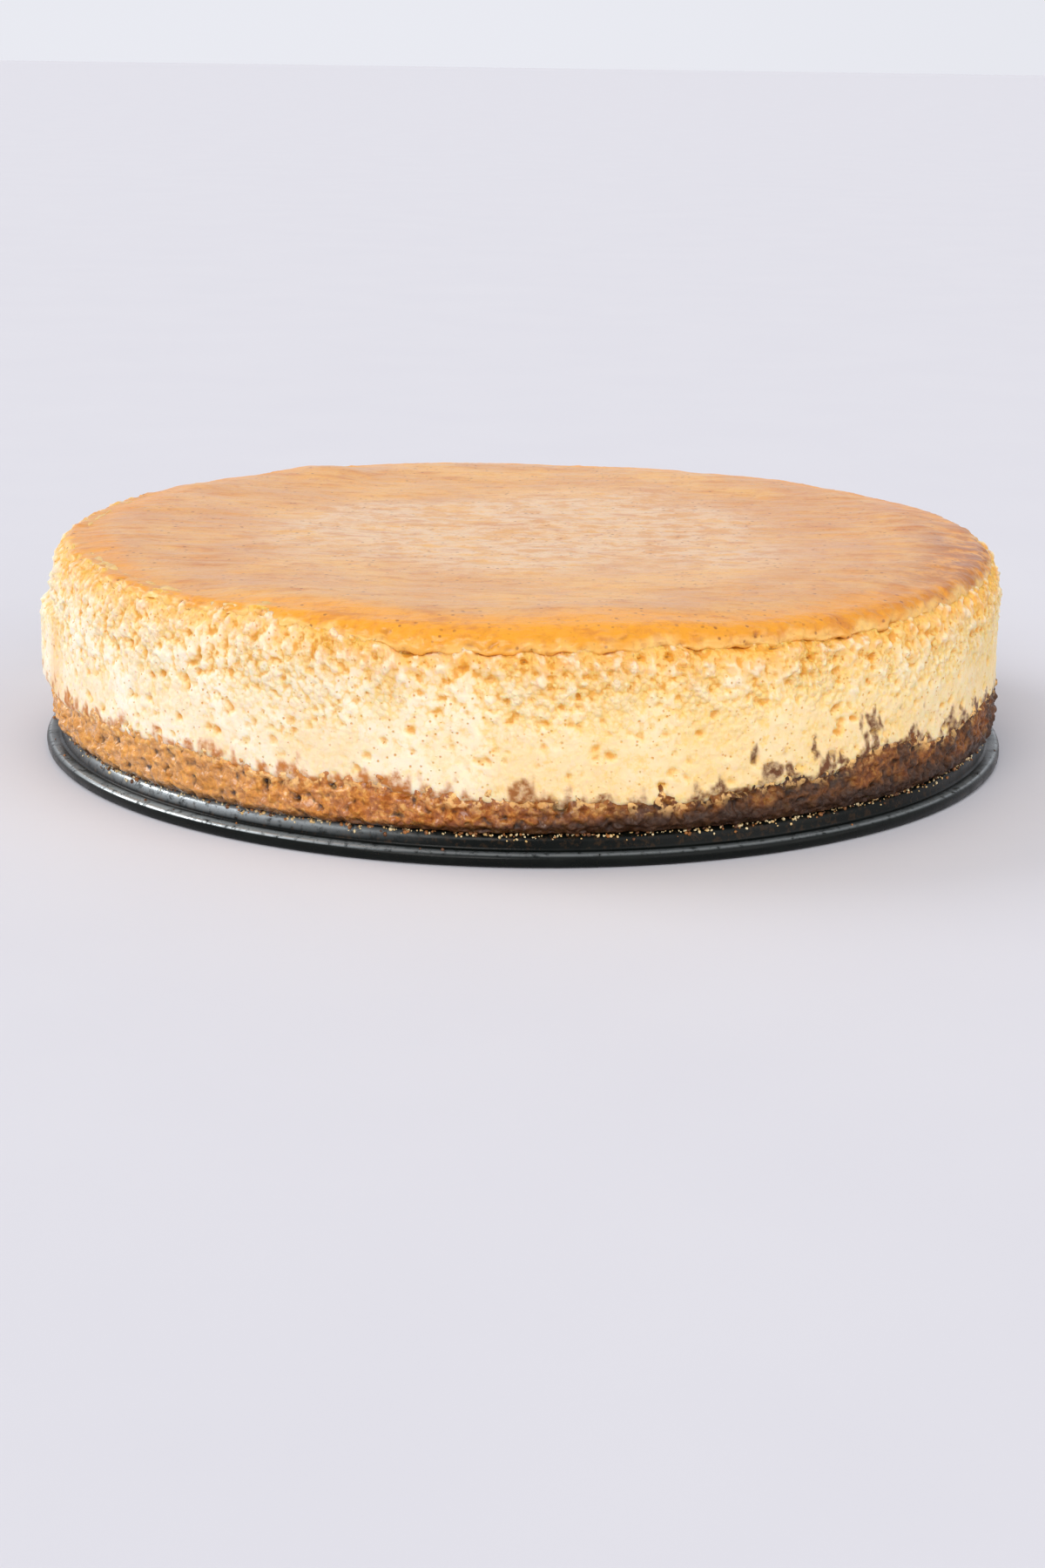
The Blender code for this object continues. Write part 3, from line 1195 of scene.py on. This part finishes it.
        # hollow: read by the finish for painted dark shade in the deepest hollows
        body.paint("hollow", pit)
        body.paint("smear", self.smear(wall, angle, level, line))
        body.paint("darkness", darkness(angle))
        return body.finish(CurdFinish())

    def smear(
        self, wall: WallMap, angle: np.ndarray, level: np.ndarray, line: np.ndarray
    ) -> np.ndarray:
        """How much crumb is smeared up the curd.

        Args:
            wall: The map of the side.
            angle: Angles in radians.
            level: Heights in millimetres.
            line: The crumb line at each angle.

        Returns:
            A share from 0 to 1 a point.
        """
        tall = wall.read(wall.noise(3.8, 21, 3, tall=1.8), angle, level)
        reach = 3.4 + swells(angle, SMEAR_SWELLS)
        return smooth((line + reach * (0.25 + 1.5 * tall) - level) / 2.4 + 0.35)


@dataclass
class BakedSkin:
    """The glossy skin: the flat top, the soft shoulder and a rolled lower edge."""

    sizes: CakeSizes
    steps: int = SPIN_STEPS
    cuts: int = 5
    lip: float = 0.8
    nicks: int = 320
    lump: float = 0.75
    gape: float = 0.45
    tuck: float = 0.4
    hang: float = 0.45

    def profile(self) -> Profile:
        """The shell's rings from the axis over the top and shoulder, round the lip and back.

        Returns:
            Radius and height of each ring in metres.
        """
        sizes = self.sizes
        top = [(r, sizes.top) for r in np.linspace(0.0, sizes.rim, 44)]
        last = float(sizes.turn_at(np.array([sizes.edge]))[0])
        turns = np.linspace(math.pi / 2, last, 43)[1:]
        bend = list(zip(*sizes.shoulder(turns)))
        end_radius, end_level = bend[-1]
        rolls = np.radians(np.linspace(-18.0, -150.0, 6))
        centre = end_radius - self.lip
        roll = [
            (centre + self.lip * math.cos(t), end_level + self.lip * math.sin(t)) for t in rolls
        ]
        inner = [(roll[-1][0] - 0.5, 46.0), (107.5, 47.0), (104.0, 47.3), (50.0, 47.3), (0.0, 47.3)]
        return [(r * MM, z * MM) for r, z in top + bend + roll + inner]

    def build(self) -> bpy.types.Object:
        """Turns and sculpts the piece.

        Returns:
            The finished object.
        """
        sizes = self.sizes
        body = Turning("baked_skin", self.profile(), self.steps, self.cuts)
        angle, radius, level = body.angle, body.radius.copy(), body.level.copy()
        centre = sizes.top - sizes.drop
        around = np.hypot((radius - sizes.rim) / sizes.wide, (level - centre) / sizes.drop)
        on_bend = (radius > sizes.rim + 0.05) & (np.abs(around - 1.0) < 0.01)
        on_top = (radius <= sizes.rim + 0.05) & (level > sizes.top - 0.01)
        edge = sizes.edge_level(angle)
        turn = np.arctan2((level - centre) / sizes.drop, (radius - sizes.rim) / sizes.wide)
        last = sizes.turn_at(np.array([sizes.edge]))[0]
        share = np.where(on_bend, (math.pi / 2 - turn) / (math.pi / 2 - last), 0.0)
        new_turn = math.pi / 2 - share * (math.pi / 2 - sizes.turn_at(edge))
        bend_radius, bend_level = sizes.shoulder(new_turn)
        end_radius, end_level = sizes.shoulder(sizes.turn_at(edge))
        first_radius, first_level = sizes.shoulder(last)
        inside = ~on_bend & ~on_top
        fade = smooth((radius - 103.0) / 5.0) * inside
        radius = np.where(on_bend, bend_radius, radius + (end_radius - first_radius) * fade)
        level = np.where(on_bend, bend_level, level + (end_level - first_level) * fade)
        across, up = sizes.out_from(np.where(on_bend, new_turn, math.pi / 2))

        x, y = radius * np.cos(angle), radius * np.sin(angle)
        flat_points = np.stack([x, y, level], axis=1)
        broad = GradientNoise(41).layered(flat_points / 34.0, 2)
        ripple = GradientNoise(42).layered(flat_points * [0.05, 0.16, 0.1], 3)
        pucker = GradientNoise(43).layered(flat_points / 5.5, 3)
        lift = self.lift(angle, radius, x, y) + 0.42 * broad + 0.2 * ripple + 0.09 * pucker
        lift = np.where(on_bend, lift * (1.0 - smooth(share)), lift)
        lift = np.where(inside, lift * smooth((106.0 - radius) / 5.0), lift)

        wall = WallMap(sizes.side, 60.0, 0.42, seed=57)
        swell = wall.noise(6.5, 1, 2) * 0.3 + (np.abs(wall.noise(2.8, 2, 3)) - 0.3) * 0.9
        swell += 0.3 * wall.noise(22.0, 3)
        lumps, pit = wall.read(swell, angle, level), wall.read(self.hollows(wall), angle, level)
        pit = np.where(on_top, 0.0, pit)
        lower = np.where(inside, 1.0, smooth((share - 0.25) / 0.6))
        open_share = sizes.openness(angle)
        above = np.where(on_bend, bend_level - edge, np.where(on_top, 9.0, 0.0))
        tuck = (1.0 - open_share) * smooth((1.2 - above) / 1.2)
        move = lumps * (0.12 + self.lump * lower) - pit
        move += self.gape * open_share * lower - self.tuck * tuck
        beyond = smooth((radius - 106.0) / 3.0)
        move *= np.where(on_bend, smooth(share / 0.3), 0.0) + fade * beyond
        hang = self.hang * wall.read(wall.noise(2.8, 9, 2), angle, level) * lower * beyond
        outward = np.where(inside, 1.0, across)
        body.write(radius + move * outward, level + lift - hang + np.where(on_bend, move * up, 0.0))

        body.paint("shoulder", smooth((body.radius - sizes.rim + 12.0 + 5.0 * broad) / 15.0))
        # inner: where the finish paints the pale sheen of the surround
        body.paint("inner", smooth((88.0 - np.hypot(x, y * 1.15) + 26.0 * broad) / 46.0))
        body.paint("pale", smooth((2.6 - above - 1.6 * pucker) / 2.6) * (1.0 - 0.7 * open_share))
        # hollow: where the finish paints shade in pits and creases
        body.paint("hollow", pit + 1.2 * np.clip(-lumps - 0.05, 0, 1) * lower)
        # darker rim towards +X, partly baking and partly painted shade
        right = hill(turn_from(angle, -12), 40) * smooth((body.radius - 88.0) / 20.0)
        body.paint("scorch_and_shade", 0.75 * right)
        return body.finish(SkinFinish())

    def lift(
        self, angle: np.ndarray, radius: np.ndarray, x: np.ndarray, y: np.ndarray
    ) -> np.ndarray:
        """The top's own form: a sunken middle, a wavy rim, a blister and a low swelling.

        Args:
            angle: Angles in radians.
            radius: Radii in millimetres.
            x: Places along X in millimetres.
            y: Places along Y in millimetres.

        Returns:
            Heights above the plain top in millimetres.
        """
        lift = -self.sizes.dip * (1.0 - smooth((radius / self.sizes.rim) ** 2))
        lift -= 1.1 * np.clip((radius - 93.0) / 13.2, 0.0, 1.0) ** 2
        near = smooth((radius - 80.0) / 20.0)
        lift += near * (waves(angle, RIM_WAVES) + swells(angle, BLISTERS))
        lift += 0.7 * hill(np.hypot(x - 4.0, (y - 14.0) * 1.6), 24.0)
        return lift - 0.4 * hill(np.hypot(x - 2.0, (y + 6.0) * 1.4), 20.0)

    def hollows(self, wall: WallMap) -> np.ndarray:
        """Nicks and pits along the skin's lower edge.

        Args:
            wall: The map of the side.

        Returns:
            Their depth in millimetres, a cell.
        """
        field = wall.blank()
        chance = wall.chance
        for _ in range(self.nicks):
            bearing = chance.uniform(-180.0, 180.0)
            size = 0.3 + 0.6 * chance.random() ** 2
            half = (size * chance.uniform(1.0, 2.2), size * 0.8)
            level = self.sizes.edge_at(bearing) - 0.3 + 3.0 * chance.random() ** 1.8
            wall.stamp(field, bearing, level, half, 0.8 * size, chance.uniform(-20, 20))
        return field


@dataclass
class BiscuitBase:
    """The pressed crumb base, with its crumbly outer band."""

    sizes: CakeSizes
    steps: int = SPIN_STEPS
    cuts: int = 7
    tallest: float = 24.5
    rows: int = 60
    gaps: int = 420
    crumb: float = 1.7
    grit: float = 0.8
    ragged: float = 2.8
    top_dip: float = 2.6
    foot_dip: float = 1.8

    def profile(self) -> Profile:
        """The disc's rings from its underside, up its band and back over its hidden top.

        Returns:
            Radius and height of each ring in metres.
        """
        side, foot = self.sizes.side, self.sizes.foot
        under = [(0.0, foot), (60.0, foot), (105.0, foot), (110.6, foot)]
        band = [(side, z) for z in np.linspace(foot + 0.2, self.tallest, self.rows)]
        over = [(109.5, self.tallest), (107.0, 17.0), (104.0, 13.9), (60.0, 13.8), (0.0, 13.8)]
        return [(r * MM, z * MM) for r, z in under + band + over]

    def build(self) -> bpy.types.Object:
        """Turns and sculpts the piece.

        Returns:
            The finished object.
        """
        sizes = self.sizes
        body = Turning("biscuit_base", self.profile(), self.steps, self.cuts)
        angle, radius, level = body.angle, body.radius, body.level
        wall = WallMap(sizes.side, 26.0, 0.36, seed=83)
        crumbs = 0.8 * wall.lumps(3.0, 1) + 0.35 * wall.noise(2.4, 4, 2)
        grit = wall.lumps(1.5, 2)
        relief = self.crumb * crumbs + self.grit * grit + 0.35 * wall.noise(9.0, 3)
        pit = wall.read(self.hollows(wall), angle, level)
        line = sizes.crumb_line(angle)
        outer = smooth((radius - sizes.side + 1.0) / 0.8)
        move = wall.read(relief, angle, level) - pit
        ragged = self.ragged * wall.read(wall.noise(4.4, 5, 3, tall=2.0), angle, level)
        move -= self.top_dip * smooth((level - line - ragged + 0.6) / 3.2)
        move -= self.foot_dip * smooth((sizes.foot + 3.0 - level) / 3.4) ** 1.5
        body.write(radius + outer * move, level)

        dark = darkness(angle)
        body.paint("darkness", dark)
        # foot: where the finish darkens the crumb's foot, partly painted shade
        body.paint("foot", smooth((sizes.foot + 2.3 + 2.8 * dark - level) / 2.2))
        crease = np.clip(-wall.read(crumbs + grit, angle, level) - 0.1, 0.0, 1.0)
        # hollow: where the finish paints shade in the gaps between crumbs
        body.paint("hollow", pit + 1.5 * crease)
        body.paint("cream", smooth((level - line + 3.4) / 4.0))
        return body.finish(BiscuitFinish())

    def hollows(self, wall: WallMap) -> np.ndarray:
        """Gaps between crumbs.

        Args:
            wall: The map of the side.

        Returns:
            Their depth in millimetres, a cell.
        """
        field = wall.blank()
        chance = wall.chance
        for _ in range(self.gaps):
            level = self.sizes.foot + 1.0 + 10.0 * chance.random()
            size = 0.4 + 0.7 * chance.random() ** 2.5
            half = (size * chance.uniform(0.8, 1.8), size * chance.uniform(0.6, 1.0))
            tilt = chance.uniform(-40.0, 40.0)
            wall.stamp(field, chance.uniform(-180, 180), level, half, size, tilt, 0.7)
        wall.stamp(field, -86.0, 12.2, (1.9, 1.2), 2.0, 10.0, 0.6)
        wall.stamp(field, -71.0, 13.4, (2.2, 0.7), 1.6, -12.0, 0.6)
        return field


@dataclass
class TinBase:
    """The pressed tin base: a raised plateau and a flange whose rim is rolled down."""

    rim: float
    height: float
    plateau: float = 110.8
    bend: float = 1.8
    sheet: float = 1.0
    flange: float = 2.7
    roll: float = 1.2
    wire: float = 1.3
    steps: int = 180
    # bearing of the painted highlight of bright steel at the front left
    sheen_bearing: float = -130.0

    def profile(self) -> Profile:
        """The sheet's rings: over the plateau, the flange and its rolled rim, back beneath.

        Returns:
            Radius and height of each ring in metres.
        """
        bend_level = self.height - self.bend
        over = [(0.0, self.height), (40.0, self.height), (100.0, self.height)]
        over += self.arc(self.plateau, bend_level, self.bend, 90.0, 8.0, 9)
        foot = self.plateau + self.bend
        over += self.arc(foot + 0.8, self.flange + 0.7, 0.7, 188.0, 270.0, 6)
        over += self.arc(self.rim - self.roll, self.flange - self.roll, self.roll, 90.0, -6.0, 9)
        ring, beneath = self.rim - 0.5, self.flange - self.sheet
        within = ring - self.wire
        under = [(self.rim - 0.1, 0.4), (ring, 0.0), (within, 0.0), (within, beneath)]
        inner = self.bend - self.sheet
        under += [(self.plateau + inner, beneath)]
        under += self.arc(self.plateau, bend_level, inner, 8.0, 90.0, 5)
        under += [(60.0, self.height - self.sheet), (0.0, self.height - self.sheet)]
        return [(r * MM, z * MM) for r, z in over + under]

    @staticmethod
    def arc(
        across: float, up: float, radius: float, start: float, end: float, points: int
    ) -> Profile:
        """Points of an arc in a profile.

        Args:
            across: The centre's distance from the axis.
            up: The centre's height.
            radius: The arc's radius.
            start: Its first angle in degrees.
            end: Its last angle in degrees.
            points: How many points.

        Returns:
            The points in order.
        """
        turns = np.radians(np.linspace(start, end, points))
        return [(across + radius * math.cos(t), up + radius * math.sin(t)) for t in turns]

    def build(self) -> bpy.types.Object:
        """Turns the piece and paints where it is rubbed, where its painted highlight falls and
        where it is greasy.

        Returns:
            The finished object.
        """
        body = Turning("tin_sheet", self.profile(), self.steps, 1)
        around = np.stack([2 * np.cos(body.angle), 2 * np.sin(body.angle), body.level / 9], axis=1)
        wobble = 0.1 * GradientNoise(5).at(around) * smooth((body.radius - 108.0) / 4.0)
        body.write(body.radius + wobble, body.level)
        crest = 0.5 * hill(body.radius - self.rim + 0.9, 0.7) * hill(body.level - self.flange, 0.7)
        bend = hill(body.radius - self.plateau - 1.1, 1.5)
        bend *= hill(body.level - self.height + 0.9, 1.6)
        # painted highlight: the bend and flange top at the front left, where the window's
        # reflection falls; the crest is rubbed all round
        sheen = hill(turn_from(body.angle, self.sheen_bearing), 34.0)
        flat = 0.8 * smooth((body.radius - 113.0) / 1.5) * (body.level > self.flange - 0.6)
        body.paint("wear_and_sheen", np.clip(crest + 1.4 * np.maximum(bend, flat) * sheen, 0.0, 1.0))
        grease = hill(body.radius - self.plateau - 1.2, 3.2) * (body.level > self.flange + 0.4)
        body.paint("grease", grease)
        body.piece.data.shade_smooth()
        bpy.ops.object.select_all(action="DESELECT")
        body.piece.select_set(True)
        bpy.context.view_layer.objects.active = body.piece
        bpy.ops.object.shade_smooth_by_angle(angle=math.radians(50))
        TinFinish().dress(body.piece)
        return body.piece


class Bit(Enum):
    """The kinds of small loose thing round the cake's foot."""

    CRUMB = "loose_crumbs"
    BEAD = "butter_beads"


BIT_SHAPES = {Bit.CRUMB: (0.13, (1.0, 0.8, 0.7)), Bit.BEAD: (0.02, (1.0, 1.0, 0.6))}
"""How rough each kind is in millimetres, and its size along X, Y and Z."""


@dataclass
class Scatter:
    """Small loose things of one kind, joined to one piece."""

    kind: Bit
    finish: Finish
    count: int
    small: float
    large: float
    seed: int

    def model(self) -> bpy.types.Object:
        """Models one of them, 1 mm across.

        Returns:
            The model.
        """
        bpy.ops.object.select_all(action="DESELECT")
        bpy.ops.mesh.primitive_ico_sphere_add(subdivisions=2, radius=0.5 * MM)
        one = bpy.context.object
        bpy.ops.object.mode_set(mode="EDIT")
        bpy.ops.mesh.select_all(action="SELECT")
        rough, shape = BIT_SHAPES[self.kind]
        bpy.ops.transform.vertex_random(offset=rough * MM, seed=self.seed)
        bpy.ops.transform.resize(value=shape)
        bpy.ops.object.mode_set(mode="OBJECT")
        one.data.shade_smooth()
        return one

    def build(self, spot: Callable[[np.random.Generator], Vector]) -> bpy.types.Object:
        """Copies the model to its places and joins the copies.

        Args:
            spot: Draws the place of one of them, in millimetres.

        Returns:
            The finished object.
        """
        chance = np.random.default_rng(self.seed)
        one = self.model()
        copies = []
        for _ in range(self.count):
            size = self.small + (self.large - self.small) * chance.random() ** 2.6
            place = spot(chance) * MM
            turn = Euler(chance.uniform(0.0, math.tau, 3)).to_matrix().to_4x4()
            mesh = one.data.copy()
            mesh.transform(Matrix.Translation(place) @ turn @ Matrix.Scale(size, 4))
            copy = bpy.data.objects.new(self.kind.value, mesh)
            bpy.context.collection.objects.link(copy)
            copies.append(copy)
        bpy.data.objects.remove(one)
        bpy.ops.object.select_all(action="DESELECT")
        for copy in copies:
            copy.select_set(True)
        bpy.context.view_layer.objects.active = copies[0]
        bpy.ops.object.join()
        piece = bpy.context.object
        piece.name = piece.data.name = self.kind.value
        self.finish.dress(piece)
        return piece


@dataclass
class LooseBits:
    """Crumbs and beads of butter where the crumb base meets the tin."""

    tin: TinBase
    on_shoulder: float = 0.96
    proud: float = 0.1

    def on_foot(self, chance: np.random.Generator) -> Vector:
        """A place on the tin's shoulder, at the foot of the crumb band.

        Args:
            chance: The source of random numbers.

        Returns:
            The place in millimetres.
        """
        angle = chance.uniform(-math.pi, math.pi)
        across = 0.7 + min(abs(chance.normal(0.0, 0.5)), 1.05)
        bend = self.tin.bend
        level = self.tin.height - bend + math.sqrt(bend**2 - across**2) + self.proud
        return around_axis(self.tin.plateau + across, angle, level)

    def on_flange(self, chance: np.random.Generator) -> Vector:
        """A place on the flange, or on the shoulder for most.

        Args:
            chance: The source of random numbers.

        Returns:
            The place in millimetres.
        """
        if chance.random() < self.on_shoulder:
            return self.on_foot(chance)
        angle = chance.uniform(-math.pi, math.pi)
        radius = chance.uniform(self.tin.plateau + 2.6, self.tin.rim - 0.7)
        return around_axis(radius, angle, self.tin.flange + self.proud)

    def build(self) -> list[bpy.types.Object]:
        """Scatters both kinds.

        Returns:
            The two pieces.
        """
        crumb = BitFinish("loose_crumb", srgb(176, 112, 52), srgb(96, 58, 30), 0.5, 0.2)
        bead = BitFinish("butter_bead", srgb(244, 222, 172), srgb(220, 178, 110), 0.12, 1.0)
        crumbs = Scatter(Bit.CRUMB, crumb, 460, 0.4, 1.3, 301).build(self.on_flange)
        beads = Scatter(Bit.BEAD, bead, 900, 0.35, 0.95, 302).build(self.on_foot)
        return [crumbs, beads]


@dataclass
class Studio:
    """The floor, the soft light and the camera."""

    reach: float = 12.0
    distance: float = 0.650
    height: float = 0.1667
    lens: float = 62.2
    look_down: float = 15.56
    roll: float = 0.83
    warmth: Colour = (1.0, 0.985, 0.965)

    def floor(self) -> None:
        """A wide pale floor with a border inset round its edge."""
        bpy.ops.object.select_all(action="DESELECT")
        bpy.ops.mesh.primitive_plane_add(size=2 * self.reach, location=(0, 0, -0.0002))
        plane = bpy.context.object
        plane.name = "studio_floor"
        bpy.ops.object.mode_set(mode="EDIT")
        bpy.ops.mesh.select_all(action="SELECT")
        bpy.ops.mesh.inset(thickness=0.2)
        bpy.ops.object.mode_set(mode="OBJECT")
        recipe = Recipe("floor_paper", Roughness=0.75)
        tone = recipe.noise(recipe.place(), 60.0, 3.0)
        recipe.dress(plane, Base_Color=recipe.mix(tone, srgb(212, 211, 216), srgb(208, 207, 213)))

    def sky(self) -> None:
        """An even pale surround, brighter behind the cake and to its left."""
        world = bpy.data.worlds.new("studio_surround")
        bpy.context.scene.world = world
        world.use_nodes = True
        wiring = Wiring(world.node_tree, "Background")
        x, y, _ = wiring.axes(wiring.node("ShaderNodeTexCoord", {}, "Generated"))
        lean = {"Value": x * -0.5 + y, "From Min": -1.0, "From Max": 1.0}
        strength = {"To Min": 0.5, "To Max": 0.95}
        ramp = wiring.node("ShaderNodeMapRange", {**lean, **strength})
        wiring.feed(Strength=ramp, Color=(0.86, 0.87, 0.93, OPAQUE))

    def glow(self, name: str, place: Colour, strength: float, spread: float) -> None:
        """A broad soft light from one direction, even over the whole floor.

        Args:
            name: The light's name.
            place: A point it shines from, towards the origin.
            strength: Its strength.
            spread: How wide it looks, in degrees.
        """
        light = bpy.data.lights.new(name, "SUN")
        light.energy, light.angle, light.color = strength, math.radians(spread), self.warmth
        holder = bpy.data.objects.new(name, light)
        bpy.context.collection.objects.link(holder)
        holder.rotation_euler = (-Vector(place)).to_track_quat("-Z", "Y").to_euler()

    def camera(self) -> None:
        """A level camera in front, looking down a little and barely rolled."""
        lens = bpy.data.cameras.new("camera")
        lens.lens, lens.sensor_width, lens.sensor_fit = self.lens, 36.0, "AUTO"
        holder = bpy.data.objects.new("camera", lens)
        bpy.context.collection.objects.link(holder)
        down = math.radians(self.look_down)
        ahead = Vector((0.0, math.cos(down), -math.sin(down)))
        up = Vector((0.0, math.sin(down), math.cos(down)))
        turn = Matrix((Vector((1.0, 0.0, 0.0)), up, -ahead)).transposed().to_4x4()
        turn = turn @ Matrix.Rotation(math.radians(self.roll), 4, "Z")
        holder.matrix_world = Matrix.Translation((0.0, -self.distance, self.height)) @ turn
        bpy.context.scene.camera = holder

    def build(self) -> None:
        """Sets the stage."""
        self.floor()
        self.sky()
        self.glow("window", (-1.3, 0.5, 0.9), 1.0, 28.0)
        self.glow("front_left", (-0.5, -1.3, 0.95), 1.36, 34.0)
        self.glow("right", (1.3, -1.0, 0.7), 1.05, 60.0)
        bpy.context.scene.view_settings.view_transform = "Standard"
        self.camera()


def place_on_cake(piece: bpy.types.Object, slot: str, *nodes: str) -> None:
    """Rides a piece on the cake and hides the nodes that it stands for.

    Args:
        piece: The finished piece.
        slot: Not used.
        nodes: The CAD nodes that it replaces.
    """
    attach(piece, "root")
    if nodes:
        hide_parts(*nodes)
    faces = sum(len(face.vertices) - 2 for face in piece.data.polygons)
    LOG.info("%s: %d triangles", piece.name, faces)


def main() -> None:
    """Builds the cake's pieces and the studio."""
    logging.basicConfig(level=logging.INFO, format="%(name)s: %(message)s")
    sizes = CakeSizes()
    tin_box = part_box("tin_base")
    rim, height = tin_box[1][0] / MM, tin_box[1][2] / MM
    place_on_cake(CurdSide(sizes).build(), "filling", "filling")
    place_on_cake(BakedSkin(sizes).build(), "filling", "filling")
    place_on_cake(BiscuitBase(sizes).build(), "biscuit_crumb", "crumb_base")
    tin = TinBase(rim, height)
    place_on_cake(tin.build(), "tin_coating", "tin_base")
    for piece in LooseBits(tin).build():
        place_on_cake(piece, "biscuit_crumb")
    Studio().build()


if __name__ == "__main__":
    main()
